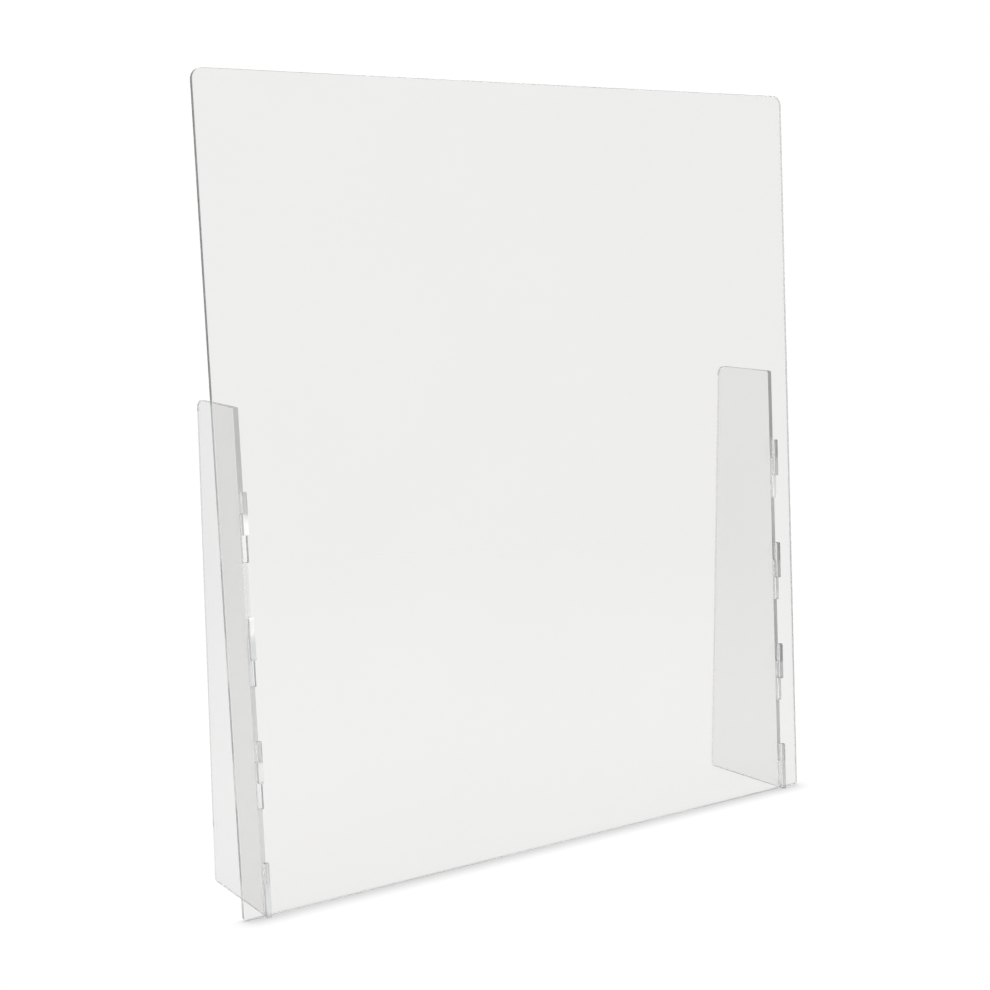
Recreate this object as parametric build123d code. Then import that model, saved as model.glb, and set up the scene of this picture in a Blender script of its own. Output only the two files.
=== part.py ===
from build123d import *
import math
import os

# A free-standing clear shield for a desk or counter: one big flat sheet that hangs on two upright side
# wings. All three pieces are cut from the same clear sheet, and hooks on the wings pass through slots in
# the big sheet, so nothing is glued or screwed. X runs along the shield, the shield faces -Y, the wings
# reach back along +Y, and everything stands on Z = 0. The origin is the middle of the footprint.

# Driving sizes, in millimetres
SHEET = 5.6  # real thickness of the sheet that is sold as a quarter of an inch
ARRIS = 0.35  # flat taken off every cut edge

SHIELD_WIDTH = 806.45
SHIELD_HEIGHT = 914.4
SHIELD_TOP_RADIUS = 12.7
SHIELD_FOOT_RADIUS = 5.0

OVERALL_DEPTH = 152.4  # from the front of the hooks to the back of the wings' feet
WING_HEIGHT = 567.5  # at the sharp back top corner
WING_TOP_DEPTH = 102.0  # behind the shield
WING_INSET = 25.0  # from the shield's side edge to a wing's outer face
WING_BACK_TOP_RADIUS = 11.0
WING_BACK_FOOT_RADIUS = 5.0
WING_FRONT_TOP_RADIUS = 2.5

HOOK_COUNT = 4
HOOK_PITCH = 136.3
LOWEST_NECK_TOP = 37.5
NECK_HEIGHT = 23.0
FINGER_RISE = 23.8  # how far a finger stands up above its neck
FINGER_RADIUS = 1.2

LIFT = 29.7  # how far the shield rises on the hooks before the slots' lower ends stop it
FACE_GAP = 0.25  # between the shield's faces and the wings
SIDE_GAP = 0.3  # each side of a neck in its slot
END_GAP = 0.3  # above a neck at rest, and below it with the shield lifted
SLOT_RADIUS = 0.8

# Worked out from them
HOOK_FRONT = -OVERALL_DEPTH / 2
FINGER_BACK = HOOK_FRONT + SHEET
SHIELD_FRONT = FINGER_BACK + FACE_GAP
SHIELD_BACK = SHIELD_FRONT + SHEET
WING_FRONT = SHIELD_BACK + FACE_GAP
WING_BACK = OVERALL_DEPTH / 2
WING_TOP_BACK = SHIELD_BACK + WING_TOP_DEPTH
WING_X = SHIELD_WIDTH / 2 - WING_INSET - SHEET / 2  # middle plane of each wing
NECK_TOPS = [LOWEST_NECK_TOP + n * HOOK_PITCH for n in range(HOOK_COUNT)]


def round_at(face, points, radius):
    """Rounds the corners of a flat face that lie at the given points of its own plane."""
    wanted = [Vector(*point) for point in points]
    corners = [v for v in face.vertices() if any((Vector(v) - w).length < 0.01 for w in wanted)]
    return fillet(corners, radius)


def with_arrises(solid):
    """Takes a small flat off every cut edge, as finishing the sheet does."""
    return chamfer(solid.edges(), ARRIS)


def neck_bottom_of(neck_top):
    """The lowest neck runs down to the floor, and the others are short."""
    return 0 if neck_top == LOWEST_NECK_TOP else neck_top - NECK_HEIGHT


def slot(x, neck_top):
    """The hole for one hook. The lowest one is a notch, open at the shield's foot."""
    top = neck_top + END_GAP
    bottom = neck_top - NECK_HEIGHT - LIFT - END_GAP
    middle = Location((x, (top + bottom) / 2))
    return middle * RectangleRounded(SHEET + 2 * SIDE_GAP, top - bottom, SLOT_RADIUS)


def front_shield():
    """The big clear sheet, with a column of slots for each wing."""
    side = SHIELD_WIDTH / 2
    outline = Location((0, SHIELD_HEIGHT / 2)) * Rectangle(SHIELD_WIDTH, SHIELD_HEIGHT)
    outline = round_at(outline, [(-side, SHIELD_HEIGHT), (side, SHIELD_HEIGHT)], SHIELD_TOP_RADIUS)
    outline = round_at(outline, [(-side, 0), (side, 0)], SHIELD_FOOT_RADIUS)
    for x in (-WING_X, WING_X):
        for neck_top in NECK_TOPS:
            outline -= slot(x, neck_top)
    facing_front = Plane((0, SHIELD_BACK, 0), x_dir=(1, 0, 0), z_dir=(0, -1, 0))
    return with_arrises(extrude(facing_front * outline, SHEET))


def hook(neck_top):
    """One hook in the wing's plane: a neck through the slot, and a finger that stands up in front."""
    neck_bottom = neck_bottom_of(neck_top)
    finger_top = neck_top + FINGER_RISE
    inside_wing = WING_FRONT + SHEET
    outline = Polyline(
        (inside_wing, neck_bottom),
        (HOOK_FRONT, neck_bottom),
        (HOOK_FRONT, finger_top),
        (FINGER_BACK, finger_top),
        (FINGER_BACK, neck_top),
        (inside_wing, neck_top),
        close=True,
    )
    face = round_at(make_face(outline), [(HOOK_FRONT, finger_top), (FINGER_BACK, finger_top)], FINGER_RADIUS)
    if neck_bottom > 0:
        face = round_at(face, [(HOOK_FRONT, neck_bottom)], FINGER_RADIUS)
    return face


def wing_outline():
    """A wing seen from its side: upright in front, with a leaning back edge and a column of hooks."""
    lean = math.atan((WING_BACK - WING_TOP_BACK) / WING_HEIGHT)
    # the top edge is square to the back edge, so it slopes down towards the front
    front_height = WING_HEIGHT - (WING_TOP_BACK - WING_FRONT) * math.tan(lean)
    # the sharp corner that leaves the rounded foot reaching exactly to WING_BACK
    corner = WING_BACK + WING_BACK_FOOT_RADIUS * (1 / math.tan((math.pi / 2 - lean) / 2) - 1)
    outline = Polyline(
        (WING_FRONT, 0),
        (corner, 0),
        (WING_TOP_BACK, WING_HEIGHT),
        (WING_FRONT, front_height),
        close=True,
    )
    face = make_face(outline)
    face = round_at(face, [(corner, 0)], WING_BACK_FOOT_RADIUS)
    face = round_at(face, [(WING_TOP_BACK, WING_HEIGHT)], WING_BACK_TOP_RADIUS)
    face = round_at(face, [(WING_FRONT, front_height)], WING_FRONT_TOP_RADIUS)
    for neck_top in NECK_TOPS:
        face += hook(neck_top)
    return face


def wing(x):
    """One side wing, standing square to the shield with its middle plane at x."""
    facing_side = Plane((x - SHEET / 2, 0, 0), x_dir=(0, 1, 0), z_dir=(1, 0, 0))
    return with_arrises(extrude(facing_side * wing_outline(), SHEET))


pieces = {
    "front_shield": front_shield(),
    "left_wing": wing(-WING_X),
    "right_wing": wing(WING_X),
}
os.makedirs("parts", exist_ok=True)
for name, solid in pieces.items():
    export_step(solid, f"parts/{name}.step")
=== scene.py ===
import math

import bpy
from mathutils import Matrix, Vector


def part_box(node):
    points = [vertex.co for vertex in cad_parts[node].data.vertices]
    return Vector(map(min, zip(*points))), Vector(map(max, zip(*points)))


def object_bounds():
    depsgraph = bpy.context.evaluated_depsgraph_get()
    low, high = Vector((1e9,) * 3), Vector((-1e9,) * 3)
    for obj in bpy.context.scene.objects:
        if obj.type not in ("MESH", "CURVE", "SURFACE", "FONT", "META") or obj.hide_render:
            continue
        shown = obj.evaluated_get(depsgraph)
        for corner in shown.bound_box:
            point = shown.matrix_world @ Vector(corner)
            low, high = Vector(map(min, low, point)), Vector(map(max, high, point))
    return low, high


# The looks of a clear shield that stands on two clear side wings. The three sheets are the CAD nodes
# themselves, because their shapes are right: each gets the material of polished clear sheet with cut
# edges. Lengths are in metres and angles in degrees. X runs along the shield, which faces -Y.

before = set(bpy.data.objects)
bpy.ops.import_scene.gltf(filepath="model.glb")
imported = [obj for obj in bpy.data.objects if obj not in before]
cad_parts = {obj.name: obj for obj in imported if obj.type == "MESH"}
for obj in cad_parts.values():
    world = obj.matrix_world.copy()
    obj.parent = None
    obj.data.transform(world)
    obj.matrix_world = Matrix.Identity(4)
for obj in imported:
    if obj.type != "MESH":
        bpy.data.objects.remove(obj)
cad_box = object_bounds()


# The camera, at the photograph's viewing angle
CAMERA_PLACE = (-1.0329, -1.6493, 0.6346)
CAMERA_HEADING = 31.69  # from +Y towards +X
CAMERA_TILT = -6.07
CAMERA_ROLL = -2.51
CAMERA_LENS_MM = 57.7

# The studio
FLOOR_GAP = 0.0004  # the part stands this far above the floor, so that no two faces lie in one plane
FLOOR_RADIUS = 40.0
FLOOR_SHADED_TO = 1.2  # from this radius on, the floor fades into the even backdrop
FLOOR_EVEN_FROM = 2.6
FLOOR_SHADE = 0.06  # how much of the floor's light is what falls on it; it glows with the rest
CONTACT_REACH = 0.03  # how far the soft shade on the floor reaches, forwards from the shield's foot
CONTACT_SHADE = 0.34  # how much darker it is right at the foot
CONTACT_BEHIND = 0.006  # it fades out this far behind the shield
CONTACT_SAMPLES = 8
PAPER_TONES = ((0.915, 0.915, 0.915, 1.0), (0.935, 0.935, 0.935, 1.0))
PAPER_FIBRE = 0.0002
BACKDROP = 1.02
ROOM = 0.06  # the dim room that the polished faces mirror
LIT_FLOOR = 0.30  # the floor that they mirror, from the object out to the end of its pool of light
LIT_FLOOR_FROM = 0.3
LIT_FLOOR_TO = 3.0
OVERHEAD = 1.1
OVERHEAD_FROM = (0.35, 0.75)  # how high the room's bright ceiling begins
BACKDROP_TOWARDS = (0.53, 0.85, 0.0)  # the side of the room where the mirrored backdrop stands
BACKDROP_FROM = (0.80, 0.95)  # how near that direction it begins
SIDES_FROM = (0.90, 0.96)  # how near to straight along X the room's bright sides begin
SIDES_FLOOR_FROM = (1.0, 1.5)  # and how far out on the floor that is mirrored
SOFTBOX_PLACE = (0.0, -0.4, 3.0)
SOFTBOX_SIZE = (1.4, 1.4)
SOFTBOX_POWER = 40.0

# Clear acrylic sheet
ACRYLIC_IOR = 1.49
ACRYLIC_PASSES = (0.75, 0.79, 0.78, 1.0)
ACRYLIC_DENSITY = 2.4
SHIELD_TINT = (0.885, 0.878, 0.874, 1.0)
WING_TINT = (0.943, 0.947, 0.940, 1.0)
SHIELD_EDGE_TINT = (0.81, 0.82, 0.815, 1.0)
# painted shade on the shield's left side edge above the wings' tops, and painted light on it below them
SHIELD_SIDE_PAINTED_SHADE = (0.28, 0.29, 0.285, 1.0)  # the shield's left side edge, above the wings' tops
SHIELD_SIDE_PAINTED_LIGHT = (0.95, 0.96, 0.955, 1.0)  # and below them
# the wings are one acrylic: their cut edges are paler on the left wing as painted light, and darker on the
# right wing as painted shade
LEFT_WING_PAINTED_LIGHT_EDGE_TINT = (0.93, 0.94, 0.935, 1.0)
# painted shade on the left wing's cut edges above the hooks
LEFT_WING_PAINTED_SHADE_HIGH = (0.67, 0.68, 0.675, 1.0)
RIGHT_WING_PAINTED_SHADE_EDGE_TINT = (0.60, 0.61, 0.605, 1.0)
# painted shade on the right wing's cut edges above the hooks
RIGHT_WING_PAINTED_SHADE_HIGH = (0.42, 0.43, 0.425, 1.0)
# white: the wings' untinted feet behind the shield, and the painted highlight on the left wing's cut edge
UNTINTED_FOOT_AND_PAINTED_HIGHLIGHT = (1.0, 1.0, 0.995, 1.0)
LIGHT_BOUNCES = 160

# Which stretch of a sheet's cut edge is which
LEFT_WING_PAINTED_HIGHLIGHT = (0.311, 0.441)  # heights between which the left wing's cut edge carries a painted highlight
HOOKS_TOP = 0.470
STRETCH_FADE = 0.005
SIDE_EDGE_BAND = 0.006  # the shield's left side edge is this near its left end
BEHIND_BAND = 0.008  # further behind the shield than this are a wing's top, back and foot
TOP_EDGE_BAND = 0.012  # a wing's sloping top edge is this near its top
FOOT_BAND = 0.003

# The finish of faces and cut edges
FACE_TURN = (0.85, 0.98)  # how squarely across the sheet a polished face looks
ARRIS_TURN = (0.40, 0.60)  # and the small flat between it and a cut edge
FACE_HAZE = 0.992
FACE_ROUGH = (0.02, 0.09)  # clean, and where a cloth has left marks
FACE_WAVINESS = 0.00006
WIPES = (28.0, 28.0, 240.0)
WIPES_TURN = (24.0, 18.0, 31.0)
EDGE_STRAY = (0.80, 1.25)  # how much darker and paler than its tint a cut edge gets
EDGE_ROUGH = (0.38, 0.48)
EDGE_CLEAR = 0.92
ARRIS_ROUGH = 0.45
ARRIS_CLEAR = 0.80
STRIATIONS = {"X": (40.0, 1700.0, 1700.0), "Y": (1700.0, 40.0, 1700.0)}  # by the axis across the sheet
STRIATION_DEPTH = 0.000003
POLISHED_ROUGH = 0.04  # the wings' backs and feet
PALE_ROUGH = 0.06  # in the painted highlight, on the wing itself
FROSTED_ROUGH = 0.45  # in the painted highlight, on the hooks' fronts
FROSTED_CLEAR = 0.25
NOISE_SPREAD = (0.3, 0.7)  # nearly all the values of a noise lie between these


class Nodes:
    """A node tree, with a short call for each kind of node."""

    def __init__(self, tree):
        self.tree = tree
        tree.nodes.clear()

    def add(self, kind, inputs=None, **settings):
        made = self.tree.nodes.new(kind)
        for name, value in settings.items():
            setattr(made, name, value)
        for name, value in (inputs or {}).items():
            self.feed(made.inputs[name], value)
        return made

    def feed(self, socket, value):
        if isinstance(value, bpy.types.NodeSocket):
            self.tree.links.new(value, socket)
        else:
            socket.default_value = value

    def math(self, operation, *values, clamp=False):
        made = self.add("ShaderNodeMath", operation=operation, use_clamp=clamp)
        for socket, value in zip(made.inputs, values):
            self.feed(socket, value)
        return made.outputs[0]

    def axis(self, vector, name):
        return self.add("ShaderNodeSeparateXYZ", {"Vector": vector}).outputs[name]

    def span(self, value, low, high, to_low=0.0, to_high=1.0, smooth=False):
        """value, with low..high stretched to to_low..to_high."""
        made = self.add(
            "ShaderNodeMapRange",
            {"Value": value, "From Min": low, "From Max": high, "To Min": to_low, "To Max": to_high},
            interpolation_type="SMOOTHSTEP" if smooth else "LINEAR",
        )
        return made.outputs["Result"]

    def stretched(self, vector, scale, turn=(0.0, 0.0, 0.0)):
        """A place, turned and then stretched, so that a noise read there becomes streaks."""
        angles = tuple(math.radians(angle) for angle in turn)
        made = self.add("ShaderNodeMapping", {"Vector": vector, "Scale": scale, "Rotation": angles})
        return made.outputs[0]

    def noise(self, vector, scale=1.0, detail=2.0, roughness=0.5):
        made = self.add(
            "ShaderNodeTexNoise",
            {"Vector": vector, "Scale": scale, "Detail": detail, "Roughness": roughness},
        )
        return made.outputs["Fac"]

    def blend(self, share, first, second):
        """A colour between first, at share 0, and second, at share 1."""
        made = self.add("ShaderNodeMix", data_type="RGBA")
        self.feed(made.inputs["Factor"], share)
        self.feed(made.inputs[6], first)
        self.feed(made.inputs[7], second)
        return made.outputs[2]

    def pick(self, share, first, second):
        """A number between first, at share 0, and second, at share 1."""
        made = self.add("ShaderNodeMix", data_type="FLOAT")
        self.feed(made.inputs["Factor"], share)
        self.feed(made.inputs[2], first)
        self.feed(made.inputs[3], second)
        return made.outputs[0]


def new_material(name):
    material = bpy.data.materials.new(name)
    material.use_nodes = True
    return material, Nodes(material.node_tree)


def toned(tint, share):
    """tint, darker or paler by share, and never paler than white."""
    return tuple(min(1.0, share * part) for part in tint[:3]) + (1.0,)


def stretch(n, value, low, high):
    """1 where value lies between low and high, with a short fade at both ends."""
    above = n.span(value, low - STRETCH_FADE, low + STRETCH_FADE)
    below = n.span(value, high + STRETCH_FADE, high - STRETCH_FADE)
    return n.math("MULTIPLY", above, below)


def shield_edges(n, place, look):
    """The shield's cut edges. Its left side edge is darker above the wings' tops, and paler below them:
    painted shade above, and painted light below.
    """
    colour, rough, clear = look
    shield_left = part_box("front_shield")[0].x
    wing_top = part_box("left_wing")[1].z
    at_side = n.math("LESS_THAN", n.axis(place, "X"), shield_left + SIDE_EDGE_BAND)
    high = n.span(n.axis(place, "Z"), wing_top - STRETCH_FADE, wing_top + STRETCH_FADE)
    # painted shade and painted light on the shield's left side edge, split at the wings' tops
    side_painted_light_and_shade = n.blend(high, SHIELD_SIDE_PAINTED_LIGHT, SHIELD_SIDE_PAINTED_SHADE)
    return n.blend(at_side, colour, side_painted_light_and_shade), rough, clear


def wing_edges(n, place, look, painted_shade_tint, brightest=None):
    """A wing's cut edges: satin in front and on top, and polished along the back and the foot.

    The tint given after look is painted shade, for the stretch above the hooks. brightest gives two heights
    between which
    a painted highlight lies: white and polished on the wing itself, and white and frosted on the hooks'
    fronts."""
    colour, rough, clear = look
    height = n.axis(place, "Z")
    depth = n.axis(place, "Y")
    shield_front, shield_back = (corner.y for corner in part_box("front_shield"))
    wing_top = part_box("left_wing")[1].z
    behind = n.math("GREATER_THAN", depth, shield_back + BEHIND_BAND)
    polished = n.math("MULTIPLY", behind, n.math("LESS_THAN", height, wing_top - TOP_EDGE_BAND))
    on_top = n.math("SUBTRACT", behind, polished)
    # painted shade on the cut edge above the hooks, but not on the sloping top
    painted_shade_above_hooks = n.span(height, HOOKS_TOP - STRETCH_FADE, HOOKS_TOP + STRETCH_FADE)
    colour = n.blend(n.math("SUBTRACT", painted_shade_above_hooks, on_top, clamp=True), colour, painted_shade_tint)
    foot = n.math("MULTIPLY", behind, n.math("LESS_THAN", height, FOOT_BAND))
    colour = n.blend(foot, colour, UNTINTED_FOOT_AND_PAINTED_HIGHLIGHT)
    rough = n.pick(polished, rough, POLISHED_ROUGH)
    clear = n.pick(polished, clear, 1.0)
    if brightest:
        pale = stretch(n, height, *brightest)
        bright = n.math("SUBTRACT", pale, behind, clamp=True)
        on_hooks = n.math("LESS_THAN", depth, shield_front)
        # a painted highlight between the two heights: white, polished on the wing and frosted on the hooks'
        # fronts
        colour = n.blend(pale, colour, UNTINTED_FOOT_AND_PAINTED_HIGHLIGHT)
        rough = n.pick(bright, rough, n.pick(on_hooks, PALE_ROUGH, FROSTED_ROUGH))
        clear = n.pick(bright, clear, n.pick(on_hooks, 1.0, FROSTED_CLEAR))
    return colour, rough, clear


def clear_sheet(name, through, tint, edge_tint, edge_changes):
    """Polished clear sheet: near-flawless faces with faint wipe marks, and cut edges with fine striations.

    through is the axis across the sheet, so a surface whose normal lies along it is a polished face.
    edge_changes is a function that changes the colour, roughness and clearness of the cut edges."""
    material, n = new_material(name)
    coords = n.add("ShaderNodeTexCoord")
    place = coords.outputs["Object"]
    facing = n.math("ABSOLUTE", n.axis(coords.outputs["Normal"], through))
    face = n.span(facing, *FACE_TURN)  # 1 on a polished face, 0 on a cut edge or its arris
    arris = n.math("SUBTRACT", n.span(facing, *ARRIS_TURN), face)

    # faces: slow waviness left by casting, a trace of haze, and faint marks of a cloth
    waves = n.noise(place, scale=11.0, detail=1.0)
    haze = n.noise(place, scale=5.0, detail=3.0)
    wiped = n.noise(n.stretched(place, WIPES, WIPES_TURN), detail=3.0)
    marks = n.math("MULTIPLY", n.span(wiped, 0.50, 0.75), n.span(haze, 0.42, 0.66, smooth=True))
    face_colour = n.blend(n.span(haze, *NOISE_SPREAD), toned(tint, FACE_HAZE), tint)
    face_rough = n.span(marks, 0.0, 1.0, *FACE_ROUGH)

    # cut edges: satin, with striations that run across the sheet, on a slightly uneven cut
    striations = n.noise(n.stretched(place, STRIATIONS[through]), detail=2.0, roughness=0.6)
    uneven = n.noise(place, scale=7.0, detail=1.0)
    dark_edge, pale_edge = (toned(edge_tint, share) for share in EDGE_STRAY)
    edge_colour = n.blend(n.span(uneven, 0.38, 0.62), dark_edge, pale_edge)
    edge_rough = n.pick(arris, n.span(striations, *NOISE_SPREAD, *EDGE_ROUGH), ARRIS_ROUGH)
    edge_clear = n.pick(arris, EDGE_CLEAR, ARRIS_CLEAR)
    edge_colour, edge_rough, edge_clear = edge_changes(n, place, (edge_colour, edge_rough, edge_clear))

    cut_height = n.span(striations, *NOISE_SPREAD, 0.0, STRIATION_DEPTH)
    face_height = n.span(waves, 0.0, 1.0, 0.0, FACE_WAVINESS)
    bump = n.add(
        "ShaderNodeBump",
        {"Strength": 0.6, "Distance": 1.0, "Height": n.pick(face, cut_height, face_height)},
    )
    shader = n.add(
        "ShaderNodeBsdfPrincipled",
        {
            "Base Color": n.blend(face, edge_colour, face_colour),
            "Roughness": n.pick(face, edge_rough, face_rough),
            "Transmission Weight": n.pick(face, edge_clear, 1.0),
            "Normal": bump.outputs["Normal"],
        },
    )
    shader.inputs["IOR"].default_value = ACRYLIC_IOR
    inside = n.add("ShaderNodeVolumeAbsorption")
    inside.inputs["Color"].default_value = ACRYLIC_PASSES
    inside.inputs["Density"].default_value = ACRYLIC_DENSITY
    n.add(
        "ShaderNodeOutputMaterial",
        {"Surface": shader.outputs["BSDF"], "Volume": inside.outputs["Volume"]},
    )
    return material


def left_wing_edges(n, place, look):
    return wing_edges(n, place, look, LEFT_WING_PAINTED_SHADE_HIGH, LEFT_WING_PAINTED_HIGHLIGHT)


def right_wing_edges(n, place, look):
    return wing_edges(n, place, look, RIGHT_WING_PAINTED_SHADE_HIGH)


def dress_sheets():
    sheets = {
        "front_shield": clear_sheet(
            "clear_shield_sheet", "Y", SHIELD_TINT, SHIELD_EDGE_TINT, shield_edges
        ),
        # the two wings' materials are lit and shaded copies: painted light on the left wing's cut edges,
        # painted shade on the right wing's
        "left_wing": clear_sheet(
            "clear_left_wing_sheet", "X", WING_TINT, LEFT_WING_PAINTED_LIGHT_EDGE_TINT, left_wing_edges
        ),
        "right_wing": clear_sheet(
            "clear_right_wing_sheet", "X", WING_TINT, RIGHT_WING_PAINTED_SHADE_EDGE_TINT, right_wing_edges
        ),
    }
    for name, material in sheets.items():
        for material_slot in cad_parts[name].material_slots:
            material_slot.material = material


def mirrored(n):
    """1 for light that a polished surface mirrors towards the camera, 0 for what is seen directly or
    shines through the sheets."""
    path = n.add("ShaderNodeLightPath").outputs
    turned_back = n.math("SUBTRACT", path["Is Glossy Ray"], path["Is Transmission Ray"], clamp=True)
    before_any_paper = n.math("LESS_THAN", path["Diffuse Depth"], 0.5)
    return n.math("MULTIPLY", turned_back, before_any_paper)


def lit_beside(n, sideways):
    """1 straight to either side of the shield, where a face seen at a grazing angle mirrors the room."""
    return n.span(sideways, *SIDES_FROM, smooth=True)


def contact_glow(n, place):
    """The floor's glow, with a soft shade along the shield's foot, on its front side."""
    near = n.add("ShaderNodeAmbientOcclusion", {"Distance": CONTACT_REACH}, samples=CONTACT_SAMPLES)
    shaded = n.span(near.outputs["AO"], 0.5, 1.0, BACKDROP * (1.0 - CONTACT_SHADE), BACKDROP)
    shield_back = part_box("front_shield")[1].y
    in_front = n.span(n.axis(place, "Y"), shield_back + CONTACT_BEHIND, shield_back)
    return n.pick(in_front, BACKDROP, shaded)


def floor_material():
    """Plain pale paper, evened out into the backdrop far from the object."""
    material, n = new_material("pale_floor")
    place = n.add("ShaderNodeTexCoord").outputs["Object"]
    fibres = n.noise(place, scale=900.0, detail=2.0)
    tone = n.blend(n.span(fibres, *NOISE_SPREAD), *PAPER_TONES)
    bump = n.add("ShaderNodeBump", {"Strength": 0.1, "Distance": PAPER_FIBRE, "Height": fibres})
    paper = n.add("ShaderNodeBsdfPrincipled", {"Base Color": tone, "Normal": bump.outputs["Normal"]})
    paper.inputs["Roughness"].default_value = 0.9
    paper.inputs["Specular IOR Level"].default_value = 0.0
    distance = n.add("ShaderNodeVectorMath", {0: place}, operation="LENGTH").outputs["Value"]
    even = n.span(distance, FLOOR_SHADED_TO, FLOOR_EVEN_FROM, 1.0 - FLOOR_SHADE, 1.0, smooth=True)
    pool = n.span(distance, LIT_FLOOR_FROM, LIT_FLOOR_TO, LIT_FLOOR, ROOM)
    sideways = n.math("DIVIDE", n.math("ABSOLUTE", n.axis(place, "X")), distance)
    beside = n.math("MULTIPLY", lit_beside(n, sideways), n.span(distance, *SIDES_FLOOR_FROM))
    seen_mirrored = n.pick(beside, pool, OVERHEAD)
    strength = n.pick(mirrored(n), contact_glow(n, place), seen_mirrored)
    glow = n.add("ShaderNodeEmission", {"Strength": strength})
    even_or_mirrored = n.math("MAXIMUM", even, mirrored(n))
    mix = n.add("ShaderNodeMixShader", {0: even_or_mirrored, 1: paper.outputs[0], 2: glow.outputs[0]})
    n.add("ShaderNodeOutputMaterial", {"Surface": mix.outputs[0]})
    return material


def add_floor():
    mesh = bpy.data.meshes.new("floor")
    angles = [math.radians(degrees) for degrees in range(0, 360, 5)]
    rim = [(FLOOR_RADIUS * math.cos(a), FLOOR_RADIUS * math.sin(a), -FLOOR_GAP) for a in angles]
    mesh.from_pydata(rim, [], [tuple(range(len(rim)))])
    mesh.materials.append(floor_material())
    floor = bpy.data.objects.new("floor", mesh)
    bpy.context.collection.objects.link(floor)


def add_studio():
    """An even white backdrop for what is seen directly or through the sheets, and a dimmer room around it."""
    scene = bpy.context.scene
    scene.world = bpy.data.worlds.new("studio")
    scene.world.use_nodes = True
    n = Nodes(scene.world.node_tree)
    direction = n.add("ShaderNodeTexCoord").outputs["Generated"]
    height = n.axis(direction, "Z")
    overhead = n.span(height, *OVERHEAD_FROM, smooth=True)
    towards = n.add("ShaderNodeVectorMath", {0: direction, 1: BACKDROP_TOWARDS}, operation="DOT_PRODUCT")
    behind = n.span(towards.outputs["Value"], *BACKDROP_FROM, smooth=True)
    beside = lit_beside(n, n.math("ABSOLUTE", n.axis(direction, "X")))
    lit = n.math("MAXIMUM", overhead, n.math("MAXIMUM", behind, beside))
    room = n.span(lit, 0.0, 1.0, ROOM, OVERHEAD)
    strength = n.pick(mirrored(n), BACKDROP, room)
    backdrop = n.add("ShaderNodeBackground", {"Color": (1.0, 1.0, 1.0, 1.0), "Strength": strength})
    n.add("ShaderNodeOutputWorld", {"Surface": backdrop.outputs[0]})
    scene.view_settings.view_transform = "Standard"
    scene.cycles.max_bounces = LIGHT_BOUNCES
    scene.cycles.transmission_bounces = LIGHT_BOUNCES
    scene.cycles.glossy_bounces = LIGHT_BOUNCES
    scene.cycles.transparent_max_bounces = LIGHT_BOUNCES


def add_light(name, place, aim, size, power):
    lamp = bpy.data.lights.new(name, "AREA")
    lamp.shape = "RECTANGLE"
    lamp.size, lamp.size_y = size
    lamp.energy = power
    light = bpy.data.objects.new(name, lamp)
    bpy.context.collection.objects.link(light)
    light.location = place
    light.rotation_euler = (Vector(aim) - Vector(place)).to_track_quat("-Z", "Y").to_euler()
    light.visible_camera = False
    light.visible_transmission = False


def add_lights():
    low, high = cad_box
    middle = (low + high) / 2
    add_light("overhead_softbox", SOFTBOX_PLACE, middle, SOFTBOX_SIZE, SOFTBOX_POWER)


def add_camera():
    lens = bpy.data.cameras.new("camera")
    lens.lens = CAMERA_LENS_MM
    camera = bpy.data.objects.new("camera", lens)
    bpy.context.collection.objects.link(camera)
    camera.matrix_world = (
        Matrix.Translation(CAMERA_PLACE)
        @ Matrix.Rotation(math.radians(-CAMERA_HEADING), 4, "Z")
        @ Matrix.Rotation(math.radians(90 + CAMERA_TILT), 4, "X")
        @ Matrix.Rotation(math.radians(CAMERA_ROLL), 4, "Z")
    )
    bpy.context.scene.camera = camera


add_camera()
add_studio()
add_lights()
add_floor()
dress_sheets()
